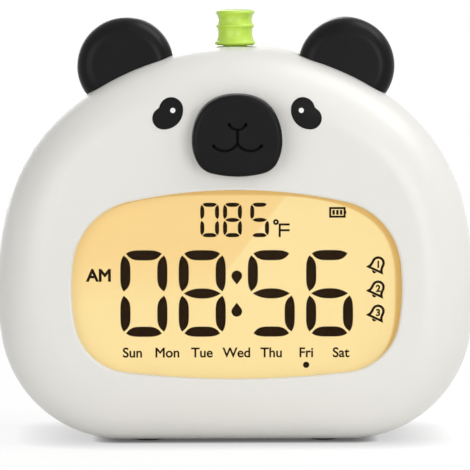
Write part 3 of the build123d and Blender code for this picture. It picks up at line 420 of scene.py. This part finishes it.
def display_material():
    """The display's lit face: a painted glare beyond a slanting line, and painted shadow along its top and
    right edges.
    """
    material, tree, main = shader("display_face")
    place = own_place(tree)
    slant = node(tree, "ShaderNodeVectorMath", operation="DOT_PRODUCT")
    slant.inputs[1].default_value = GLARE_ACROSS
    link(tree, place, slant, 0)
    beyond = smooth_step(tree, slant.outputs["Value"], GLARE_EDGE)
    below = smooth_step(tree, parts_of(tree, place)["Z"], GLARE_FADE)
    # the lighter tone is painted glare, beyond the slanting line and low on the face
    face = blend(tree, combine(tree, "MAXIMUM", beyond, below), FACE_DEEP, FACE_PAINTED_GLARE)
    # painted shadow of the window's edge along the top and right
    shade = smooth_step(tree, window_measure(tree, place), SHADE_EDGE)
    tone = blend(tree, shade, face, FACE_PAINTED_SHADE)
    link(tree, tone, main, "Base Color")
    link(tree, tone, main, "Emission Color")
    set_sockets(main, Emission_Strength=FACE_GLOW, Roughness=FACE_ROUGHNESS)
    return material


def assign(material, *names):
    """Give CAD nodes a material."""
    for name in names:
        mesh = nodes[name].data
        mesh.materials.clear()
        mesh.materials.append(material)


def names_ending(ending):
    """The CAD nodes whose names have the given ending."""
    return [name for name in nodes if name.endswith(ending)]


white = surface(
    "ivory_shell",
    colour=(0.80, 0.788, 0.75),
    roughness=0.36,
    spread=0.012,
    blotch=40 * MM,
    relief=0.03,
)
black = surface(
    "soft_black",
    colour=(0.0068, 0.0068, 0.0073),
    roughness=0.32,
    spread=0.2,
    blotch=8 * MM,
    Specular_IOR_Level=0.10,
)
green = surface(
    "bamboo_green",
    colour=(0.55, 0.79, 0.09),
    roughness=0.30,
    spread=0.04,
    blotch=5 * MM,
    Subsurface_Weight=0.1,
    Subsurface_Radius=(2 * MM, 3 * MM, 1 * MM),
)
steel = surface(
    "zinc_steel",
    colour=(0.55, 0.55, 0.57),
    roughness=0.30,
    spread=0.10,
    blotch=1.5 * MM,
    Metallic=1.0,
)
rubber = surface(
    "dark_rubber",
    colour=(0.03, 0.03, 0.03),
    roughness=0.80,
    spread=0.15,
    blotch=2 * MM,
    relief=0.2,
)
grey_key = surface(
    "satin_grey_key",
    colour=(0.55, 0.55, 0.52),
    roughness=0.45,
    spread=0.03,
    blotch=3 * MM,
    relief=0.08,
)
dark_moulding = surface(
    "dark_moulding",
    colour=(0.02, 0.02, 0.022),
    roughness=0.55,
    spread=0.15,
    blotch=2 * MM,
)
pale_moulding = surface(
    "pale_moulding",
    colour=(0.70, 0.70, 0.66),
    roughness=0.50,
    spread=0.03,
)
milky = surface(
    "milky_acrylic",
    colour=(0.88, 0.74, 0.45),
    roughness=0.30,
    spread=0.04,
    blotch=20 * MM,
)
resin = surface(
    "yellow_resin",
    colour=(0.92, 0.74, 0.25),
    roughness=0.25,
    spread=0.05,
    blotch=1 * MM,
)
painted = surface(
    "stamped_steel",
    colour=(0.25, 0.25, 0.27),
    roughness=0.40,
    spread=0.08,
    blotch=4 * MM,
    Metallic=0.7,
)
wrap = surface(
    "blue_cell_wrap",
    colour=(0.05, 0.20, 0.48),
    roughness=0.35,
    spread=0.08,
    blotch=6 * MM,
)
sheath = surface(
    "red_sheath",
    colour=(0.45, 0.02, 0.015),
    roughness=0.45,
    spread=0.08,
    blotch=2 * MM,
)
ink = surface(
    "display_ink",
    colour=(0.024, 0.012, 0.004),
    roughness=0.60,
    spread=0.15,
    blotch=2 * MM,
    Specular_IOR_Level=0.0,
)
# Dark matt lining for the muzzle's grooves: painted shade
groove_shade = surface(
    "painted_groove_shade",
    colour=(0.0095, 0.0095, 0.0095),
    roughness=0.90,
    spread=0.3,
    blotch=2 * MM,
    Specular_IOR_Level=0.0,
)
bright = surface(
    "eye_spot_white",
    colour=(0.92, 0.92, 0.90),
    roughness=0.36,
    spread=0.012,
    blotch=1 * MM,
    relief=0.03,
)
clear = surface(
    "clear_lens",
    colour=(0.05, 0.05, 0.05),
    roughness=0.08,
    spread=0.02,
    relief=0.01,
    Alpha=0.03,
)
ribbon = striped(
    "ribbon_stripes",
    low=(0.62, 0.62, 0.60),
    high=(0.42, 0.42, 0.41),
    roughness=0.5,
    pitch=1.0 * MM,
    wave_type="BANDS",
    bands_direction="X",
)
paper = striped(
    "pressed_paper_rings",
    low=(0.035, 0.035, 0.035),
    high=(0.06, 0.06, 0.06),
    roughness=0.85,
    pitch=1.2 * MM,
    wave_type="RINGS",
    rings_direction="Y",
)

assign(white, "front_shell", "rear_cover")
assign(black, "muzzle_cap", "left_eye", "right_eye", "left_ear", "right_ear")
assign(green, "bamboo_cap")
assign(clear, "display_lens")
assign(display_material(), "lcd_panel")
assign(milky, "light_guide")
assign(resin, "backlight_leds")
assign(pale_moulding, "lcd_frame", "battery_tray", "snooze_plunger")
assign(grey_key, "mode_key", "down_key", "up_key", "alarm_key")
assign(board_material(), "main_board", "snooze_board", "key_board", "power_board")
assign(rubber, "foot_pads", "speaker_gasket", "zebra_strip")
assign(painted, "speaker_basket", "speaker_magnet")
assign(paper, "speaker_cone")
assign(wrap, "battery_cell")
assign(sheath, "battery_lead", "power_lead", "speaker_lead", "snooze_lead")
assign(ribbon, "key_ribbon")
assign(steel, "usb_port", "snooze_spring", *names_ending("_screws"))
assign(dark_moulding, "controller_chip", "temperature_sensor", "usb_tongue")
assign(dark_moulding, "snooze_switch", "key_switches", *names_ending("_switch_plunger"))


# Lines and meshes


def arc(middle, radius, start, end, steps):
    """Points along an arc, with angles in radians."""
    angles = [start + (end - start) * i / steps for i in range(steps + 1)]
    return [(middle[0] + radius * cos(a), middle[1] + radius * sin(a)) for a in angles]


def circle(middle, radius, steps):
    """Points round a whole circle."""
    return arc(middle, radius, 0, 2 * pi, steps)[:-1]


def bow(start, middle, end, steps=16):
    """Points along the arc from the start through the middle to the end."""
    (ax, az), (bx, bz), (cx, cz) = start, middle, end
    twice = 2 * (ax * (bz - cz) + bx * (cz - az) + cx * (az - bz))
    squares = [x * x + z * z for x, z in (start, middle, end)]
    x = (squares[0] * (bz - cz) + squares[1] * (cz - az) + squares[2] * (az - bz)) / twice
    z = (squares[0] * (cx - bx) + squares[1] * (ax - cx) + squares[2] * (bx - ax)) / twice
    first, last = atan2(az - z, ax - x), atan2(cz - z, cx - x)
    return arc((x, z), hypot(ax - x, az - z), first, last, steps)


def stroke(points, width, closed=False):
    """Four-cornered faces that follow a line of points at the given width."""
    line = [Vector(point) for point in points]
    count = len(line)
    edges = []
    for i, point in enumerate(line):
        before = line[i - 1] if closed or i else point
        after = line[(i + 1) % count] if closed or i < count - 1 else point
        first, second = (point - before).normalized(), (after - point).normalized()
        along = (first + second).normalized()
        across = Vector((-along.y, along.x))
        reach = width / 2 / max(0.5, along.dot(second if second.length else first))
        edges.append((point + across * reach, point - across * reach))
    pairs = zip(edges, edges[1:] + edges[:1]) if closed else zip(edges, edges[1:])
    return [[tuple(a), tuple(b), tuple(d), tuple(c)] for (a, b), (c, d) in pairs]


def thicken(mesh, shift):
    """Give thin faces a body, by a copy of them that is moved in depth."""
    grown = bmesh.ops.extrude_face_region(mesh, geom=mesh.faces[:])
    moved = [item for item in grown["geom"] if isinstance(item, bmesh.types.BMVert)]
    bmesh.ops.translate(mesh, verts=moved, vec=(0, shift, 0))
    bmesh.ops.recalc_face_normals(mesh, faces=mesh.faces)


def add_piece(name, mesh, material, smooth=False):
    """Turn a finished mesh into a piece that rides on the case."""
    data = bpy.data.meshes.new(name)
    mesh.to_mesh(data)
    mesh.free()
    if smooth:
        data.shade_smooth()
        data.set_sharp_from_angle(angle=SHARP_ANGLE)
    data.materials.append(material)
    piece = bpy.data.objects.new(name, data)
    bpy.context.scene.collection.objects.link(piece)
    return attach(piece, "case")


def ink_piece(name, faces, y=display_y, material=ink):
    """Flat shapes on the display or at another depth, each a list of (x, z) corners, as one thin mesh."""
    mesh = bmesh.new()
    for corners in faces:
        mesh.faces.new([mesh.verts.new((x, y, z)) for x, z in corners])
    bmesh.ops.recalc_face_normals(mesh, faces=mesh.faces)
    thicken(mesh, -INK_THICKNESS)
    return add_piece(name, mesh, material)


def words(name, text, place, size, weight, behind=False):
    """A word in ink on the display or on the clock's back, centred over its place."""
    letters = bpy.data.curves.new(name, "FONT")
    letters.body = text
    letters.size = size
    letters.align_x = "CENTER"
    letters.bevel_depth = weight
    letters.bevel_resolution = 1
    letters.materials.append(ink)
    piece = bpy.data.objects.new(name, letters)
    y = back_y + INK_THICKNESS / 2 if behind else display_y - INK_THICKNESS / 2
    piece.location = (place[0], y, place[1])
    piece.rotation_euler = (pi / 2, 0, pi if behind else 0)
    piece.scale.z = INK_THICKNESS / 2 / weight
    bpy.context.scene.collection.objects.link(piece)
    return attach(piece, "case")


# Nose and mouth: a dark matt lining of the grooves, painted shade that deepens them


def make_nose_and_mouth():
    """The lines of the nose and the mouth, with round ends, as painted shade in the grooves."""
    faces = stroke([NOSE_TIP, LIP_MIDDLE], LINE_WIDTH)
    nose_start = (-NOSE_END[0], NOSE_END[1])
    faces += stroke(bow(nose_start, NOSE_TIP, NOSE_END), LINE_WIDTH)
    for side in (-1, 1):
        mouth = [(side * x, z) for x, z in bow(LIP_MIDDLE, MOUTH_LOW, MOUTH_END)]
        faces += stroke(mouth, LINE_WIDTH)
        for x, z in (NOSE_END, MOUTH_END):
            faces.append(circle((side * x, z), LINE_END_RADIUS, steps=16))
    ink_piece("nose_and_mouth_shade", faces, groove_y, groove_shade)


# Return spring


def make_spring():
    """The button's spring as a wound wire, in place of the CAD's spring."""
    low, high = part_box("snooze_spring")
    middle = (low + high) / 2
    radius = (high.x - low.x) / 2 - SPRING_WIRE_RADIUS
    start = low.z + SPRING_WIRE_RADIUS
    rise = high.z - SPRING_WIRE_RADIUS - start
    count = SPRING_TURNS * SPRING_STEPS
    section = circle((0, 0), SPRING_WIRE_RADIUS, WIRE_SIDES)
    mesh = bmesh.new()
    rings = []
    for i in range(count + 1):
        angle = 2 * pi * i / SPRING_STEPS
        height = start + rise * i / count
        ring = []
        for u, v in section:
            x = middle.x + (radius + u) * cos(angle)
            y = middle.y + (radius + u) * sin(angle)
            ring.append(mesh.verts.new((x, y, height + v)))
        rings.append(ring)
    for first, second in zip(rings, rings[1:]):
        for i in range(WIRE_SIDES):
            mesh.faces.new((first[i - 1], first[i], second[i], second[i - 1]))
    mesh.faces.new(rings[0])
    mesh.faces.new(rings[-1])
    bmesh.ops.recalc_face_normals(mesh, faces=mesh.faces)
    piece = add_piece("snooze_coil", mesh, steel)
    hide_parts("snooze_spring")
    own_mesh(piece)


# Eyes: thin black patches that follow the case's front, over white fillings of the pockets


def front_depth(side):
    """A function for the depth of the case's front at x and z, whose rays skip the pocket's narrow gap."""
    eye = "right_eye" if side > 0 else "left_eye"
    meshes = [nodes[name].data for name in ("front_shell", eye)]
    trees = [
        BVHTree.FromPolygons([v.co for v in mesh.vertices], [p.vertices for p in mesh.polygons])
        for mesh in meshes
    ]
    reach = POCKET_GAP_REACH

    def depth(x, z):
        found = []
        for right, up in ((0, 0), (reach, 0), (-reach, 0), (0, reach), (0, -reach)):
            start = Vector((x + right, cad_box[0].y - reach, z + up))
            for tree, proud in zip(trees, (0, EYE_PROUD)):
                hit = tree.ray_cast(start, Vector((0, 1, 0)))[0]
                if hit:
                    found.append(hit.y + proud)
        return min(found)

    return depth


def patch(name, outline, middle, side, proud, material):
    """A thin skin on the case's front, inside an outline of distances from the clock's middle and heights."""
    depth = front_depth(side)
    mesh = bmesh.new()

    def corner(out, height):
        return mesh.verts.new((side * out, depth(side * out, height) - proud, height))

    centre = corner(*middle)
    rings = [
        [corner(*(m + (p - m) * ring / EYE_RINGS for p, m in zip(point, middle))) for point in outline]
        for ring in range(1, EYE_RINGS + 1)
    ]
    for i in range(len(outline)):
        mesh.faces.new((centre, rings[0][i - 1], rings[0][i]))
        for inner, outer in zip(rings, rings[1:]):
            mesh.faces.new((inner[i - 1], outer[i - 1], outer[i], inner[i]))
    thicken(mesh, proud + SKIN)
    return add_piece(name, mesh, material, smooth=True)


def eye_outline():
    """The eye's outline: two round lobes with a notch above, and a fuller curve below on the inner side."""
    head, tail = Vector(EYE_HEAD[:2]), Vector(EYE_TAIL[:2])
    head_radius, tail_radius = EYE_HEAD[2], EYE_TAIL[2]
    run = (tail - head).length
    along = (tail - head) / run
    across = Vector((-along.y, along.x))
    share = (head_radius**2 - tail_radius**2 + run**2) / (2 * run)
    notch = head + along * share + across * (head_radius**2 - share**2) ** 0.5
    head_start = atan2(notch.y - head.y, notch.x - head.x) + EYE_NOTCH_ROUND / head_radius
    tail_end = atan2(notch.y - tail.y, notch.x - tail.x) - EYE_NOTCH_ROUND / tail_radius
    points = arc(EYE_CHEEK[:2], EYE_CHEEK[2], pi, 1.5 * pi, steps=16)
    points += arc(tail, tail_radius, -pi / 2, tail_end, steps=24)[1:]
    upper = arc(head, head_radius, head_start, pi, steps=24)
    before, after = Vector(points[-1]), Vector(upper[0])
    for i in range(1, EYE_NOTCH_STEPS):
        t = i / EYE_NOTCH_STEPS
        points.append(tuple(before * (1 - t) ** 2 + notch * 2 * t * (1 - t) + after * t**2))
    return points + upper


def pocket_outline(steps=48):
    """An outline round two circles, which covers the eye's pocket."""
    points = []
    for i in range(steps):
        right, up = cos(2 * pi * i / steps), sin(2 * pi * i / steps)
        out, height, radius = max(POCKET_CIRCLES, key=lambda c: c[0] * right + c[1] * up + c[2])
        points.append((out + radius * right, height + radius * up))
    return points


def make_eye(name, side):
    """An eye: the pocket's white filling, the black patch in place of the CAD's inlay, and the white spot."""
    patch(f"{name}_bed", pocket_outline(), EYE_MIDDLE, side, POCKET_BED_PROUD, white)
    black_patch = patch(f"{name}_patch", eye_outline(), EYE_MIDDLE, side, EYE_PROUD, black)
    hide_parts(name)
    place, radius = EYE_GLINT[:2], EYE_GLINT[2]
    spot = circle(place, radius, steps=24)
    patch(f"{name}_spot", spot, place, side, EYE_PROUD + SKIN, bright)


# Display legends: flat ink on the panel's front


def segment(length, thickness, point_share, power, steps=12):
    """Outline of one display segment along u, pointed at both ends, with v from its outer edge."""
    tip = thickness * point_share
    shares = [2 * i / steps - 1 for i in range(steps + 1)]
    outer = [(share * length / 2, tip * abs(share) ** power) for share in shares]
    inner = [
        (share * length / 2, thickness - (thickness - tip) * abs(share) ** power)
        for share in reversed(shares[1:-1])
    ]
    return outer + inner


def digit(figure, middle, low, width, height, thickness):
    """Outlines of a seven-segment figure."""
    left, right, top = middle - width / 2, middle + width / 2, low + height
    bar = segment(BAR_LENGTH * width, thickness, POINT_SHARE, POINT_POWER)
    waist = segment(WAIST_LENGTH * width, thickness, WAIST_POINT_SHARE, WAIST_POINT_POWER)
    post = segment(POST_LENGTH * height, thickness, POINT_SHARE, POINT_POWER)
    upper, lower = low + UPPER_POST * height, low + LOWER_POST * height
    waist_low = low + height / 2 - thickness / 2
    shapes = {
        "a": [(middle + u, top - v) for u, v in bar],
        "b": [(right - v, upper + u) for u, v in post],
        "c": [(right - v, lower + u) for u, v in post],
        "d": [(middle + u, low + v) for u, v in bar],
        "e": [(left + v, lower + u) for u, v in post],
        "f": [(left + v, upper + u) for u, v in post],
        "g": [(middle + u, waist_low + v) for u, v in waist],
    }
    return [shapes[part] for part in LIT_SEGMENTS[figure]]


def drop(middle, radius, tip):
    """A round dot drawn out to a tip above or below it."""
    side = 1 if tip > 0 else -1
    tangent = asin(radius / abs(tip))
    round_part = arc(middle, radius, side * tangent, side * (-pi - tangent), steps=20)
    return round_part + [(middle[0], middle[1] + tip)]


def bell(middle):
    """A leaning bell drawn in line, with its clapper, as faces."""
    half = BELL_WIDTH / 2
    flank = [(BELL_DOME * half, BELL_WAIST_Z * half), (BELL_FLARE * half, BELL_FLARE_Z * half), (half, 0)]
    outline = [(-x, z) for x, z in reversed(flank)]
    outline += arc((0, half), BELL_DOME * half, pi, 0, steps=10)
    outline += flank
    clapper = arc((0, -CLAPPER_DROP * half), CLAPPER_RADIUS * half, pi, 2 * pi, steps=8)
    turn = Matrix.Rotation(BELL_LEAN, 2)
    drawn = stroke(outline, BELL_STROKE, closed=True) + [clapper]
    lift = Vector((0, -BELL_SINK * half))
    return [[tuple(turn @ (Vector(corner) + lift) + Vector(middle)) for corner in face] for face in drawn]


def cell_sign():
    """A battery drawn in line, with its cap and three bars, as faces."""
    x, z = CELL_SIGN_MIDDLE
    half_width, half_height = CELL_SIGN_SIZE[0] / 2, CELL_SIGN_SIZE[1] / 2
    corners = [(-1, -1), (1, -1), (1, 1), (-1, 1)]
    outline = [(x + a * half_width, z + b * half_height) for a, b in corners]
    faces = stroke(outline, FINE_STROKE, closed=True)
    foot, end = half_width, half_width + CELL_CAP_LENGTH
    cap = [(foot, -CELL_CAP_FOOT), (end, -CELL_CAP_TOP), (end, CELL_CAP_TOP), (foot, CELL_CAP_FOOT)]
    faces.append([(x + a, z + b * half_height) for a, b in cap])
    low, high = z - CELL_BAR_HALF_HEIGHT * half_height, z + CELL_BAR_HALF_HEIGHT * half_height
    for i in (-1, 0, 1):
        left = x + (CELL_BAR_PITCH * i - CELL_BAR_HALF_WIDTH) * half_width
        right = x + (CELL_BAR_PITCH * i + CELL_BAR_HALF_WIDTH) * half_width
        faces.append([(left, low), (right, low), (right, high), (left, high)])
    return faces


def weekday_x(day):
    """The place of a weekday along its row."""
    return (WEEKDAYS.index(day) - len(WEEKDAYS) // 2) * WEEKDAY_PITCH


def make_time():
    """The time, with its drop-shaped colon."""
    faces = []
    for figure, middle in zip(TIME_DIGITS, TIME_CENTRES):
        faces += digit(figure, middle, TIME_LOW, TIME_WIDTH, TIME_HEIGHT, TIME_STROKE)
    for height, tip in zip(COLON_HEIGHTS, (COLON_TIP, -COLON_TIP)):
        faces.append(drop((0, height), COLON_RADIUS, tip))
    ink_piece("time_figures", faces)


def make_temperature():
    """The temperature, with its degree sign and unit."""
    faces = []
    for figure, middle in zip(HEAT_DIGITS, HEAT_CENTRES):
        faces += digit(figure, middle, HEAT_LOW, HEAT_WIDTH, HEAT_HEIGHT, HEAT_STROKE)
    faces += stroke(circle(DEGREE_PLACE, DEGREE_RADIUS, steps=16), FINE_STROKE, closed=True)
    left, low = UNIT_PLACE
    right, middle, top = left + UNIT_WIDTH, low + UNIT_HEIGHT / 2, low + UNIT_HEIGHT - UNIT_STROKE / 2
    faces += stroke([(left, low), (left, top), (right, top)], UNIT_STROKE)
    faces += stroke([(left, middle), (right, middle)], UNIT_STROKE)
    ink_piece("temperature_figures", faces)


def make_signs():
    """The battery sign, the bells and the dot under today's name."""
    faces = cell_sign()
    for height in BELL_HEIGHTS:
        faces += bell((BELL_X, height))
    faces.append(circle((weekday_x(TODAY), TODAY_DOT_Z), TODAY_DOT_RADIUS, steps=20))
    ink_piece("display_signs", faces)


def make_display_words():
    """The bells' numbers, the half of the day and the weekdays."""
    right, up = BELL_NUMBER_SHIFT
    for number, height in enumerate(BELL_HEIGHTS, 1):
        place = (BELL_X + right, height + up)
        words(f"alarm_number_{number}", str(number), place, BELL_NUMBER_SIZE, BELL_NUMBER_WEIGHT)
    words("meridiem", "AM", MERIDIEM_PLACE, MERIDIEM_SIZE, MERIDIEM_WEIGHT)
    for day in WEEKDAYS:
        place = (weekday_x(day), WEEKDAY_LOW)
        words(f"weekday_{day.lower()}", day, place, WEEKDAY_SIZE, WEEKDAY_WEIGHT)


def make_key_words():
    """A word on the back under each key."""
    for key, word in KEY_WORDS.items():
        low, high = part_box(key)
        place = ((low.x + high.x) / 2, low.z - KEY_WORD_DROP)
        words(f"{key}_word", word, place, KEY_WORD_SIZE, KEY_WORD_WEIGHT, behind=True)


make_nose_and_mouth()
make_spring()
make_eye("left_eye", -1)
make_eye("right_eye", 1)
make_time()
make_temperature()
make_signs()
make_display_words()
make_key_words()


# Studio: floor, white surroundings, the camera and soft lamps


def floor_material():
    """Plain white floor; where it is seen, part of its white is its own glow, so only the near shadow shows,
    and that glow is dimmed near the clock as painted shadow.
    """
    material = bpy.data.materials.new("studio_white")
    material.use_nodes = True
    tree = material.node_tree
    tree.nodes.clear()
    near = node(tree, "ShaderNodeAmbientOcclusion", Distance=CONTACT_SHADOW_REACH)
    far = node(tree, "ShaderNodeAmbientOcclusion", Distance=SOFT_SHADOW_REACH)
    limits = (SOFT_SHADOW_SHARE * SEEN_FLOOR_GLOW, SEEN_FLOOR_GLOW)
    soft = carry_over(tree, far.outputs["AO"], given=limits)
    glow = node(tree, "ShaderNodeEmission")
    # The seen glow is dimmed where the clock is near: painted contact shadow and painted soft shadow
    link(tree, combine(tree, "MULTIPLY", near.outputs["AO"], soft), glow, "Strength")
    seen_face = node(tree, "ShaderNodeAddShader")
    link(tree, node(tree, "ShaderNodeBsdfDiffuse", Color=SEEN_FLOOR_GREY).outputs[0], seen_face, 0)
    link(tree, glow.outputs[0], seen_face, 1)
    either = node(tree, "ShaderNodeMixShader")
    link(tree, seen_directly(tree, 1.0), either, 0)
    link(tree, node(tree, "ShaderNodeBsdfDiffuse", Color=FLOOR_WHITE).outputs[0], either, 1)
    link(tree, seen_face.outputs[0], either, 2)
    link(tree, either.outputs[0], node(tree, "ShaderNodeOutputMaterial"), "Surface")
    return material


def make_floor():
    """A round white table top round the clock; beyond its edge the surroundings are white too."""
    mesh = bmesh.new()
    bmesh.ops.create_circle(mesh, cap_ends=True, segments=FLOOR_SIDES, radius=FLOOR_RADIUS)
    data = bpy.data.meshes.new("studio_floor")
    mesh.to_mesh(data)
    mesh.free()
    data.materials.append(floor_material())
    floor = bpy.data.objects.new("studio_floor", data)
    bpy.context.scene.collection.objects.link(floor)


def make_world():
    """White where it is seen, and a softer even light for everything else."""
    world = bpy.data.worlds.new("studio")
    bpy.context.scene.world = world
    world.use_nodes = True
    tree = world.node_tree
    background = tree.nodes["Background"]
    set_sockets(background, Color=WORLD_WHITE)
    strength = combine(tree, "ADD", seen_directly(tree, WORLD_SEEN_EXTRA), WORLD_LIGHT)
    link(tree, strength, background, "Strength")


def make_camera():
    """The photograph's camera."""
    camera = bpy.data.objects.new("camera", bpy.data.cameras.new("camera"))
    camera.data.sensor_width = SENSOR_WIDTH
    camera.data.lens = SENSOR_WIDTH * VIEW_DISTANCE / VIEW_WIDTH
    level = cos(VIEW_ELEVATION)
    away = Vector((sin(VIEW_AZIMUTH) * level, -cos(VIEW_AZIMUTH) * level, sin(VIEW_ELEVATION)))
    camera.location = VIEW_TARGET + away * VIEW_DISTANCE
    camera.rotation_euler = (-away).to_track_quat("-Z", "Y").to_euler()
    bpy.context.scene.collection.objects.link(camera)
    bpy.context.scene.camera = camera


def lamp(name, place, size, power):
    """A square soft lamp that faces the middle of the clock."""
    light = bpy.data.lights.new(name, "AREA")
    light.size = size
    light.energy = power
    made = bpy.data.objects.new(name, light)
    made.location = place
    made.rotation_euler = (LAMP_TARGET - Vector(place)).to_track_quat("-Z", "Y").to_euler()
    bpy.context.scene.collection.objects.link(made)


make_floor()
make_world()
make_camera()
lamp("right_lamp", place=(0.5, -1.25, 0.2), size=0.5, power=4.0)
lamp("high_lamp", place=(0.2, -0.8, 0.9), size=0.4, power=0.6)
lamp("key_lamp", place=(0.5, -0.75, 0.66), size=0.2, power=0.4)
lamp("side_lamp", place=(0.8, -0.15, 0.75), size=0.3, power=1.0)
lamp("top_lamp", place=(0.58, -0.02, 1.0), size=0.7, power=6.1)
lamp("left_lamp", place=(-0.72, -1.1, 0.16), size=0.9, power=5.6)
lamp("back_lamp", place=(-0.35, 1.25, 0.45), size=0.8, power=6.0)
bpy.context.scene.view_settings.view_transform = "Standard"
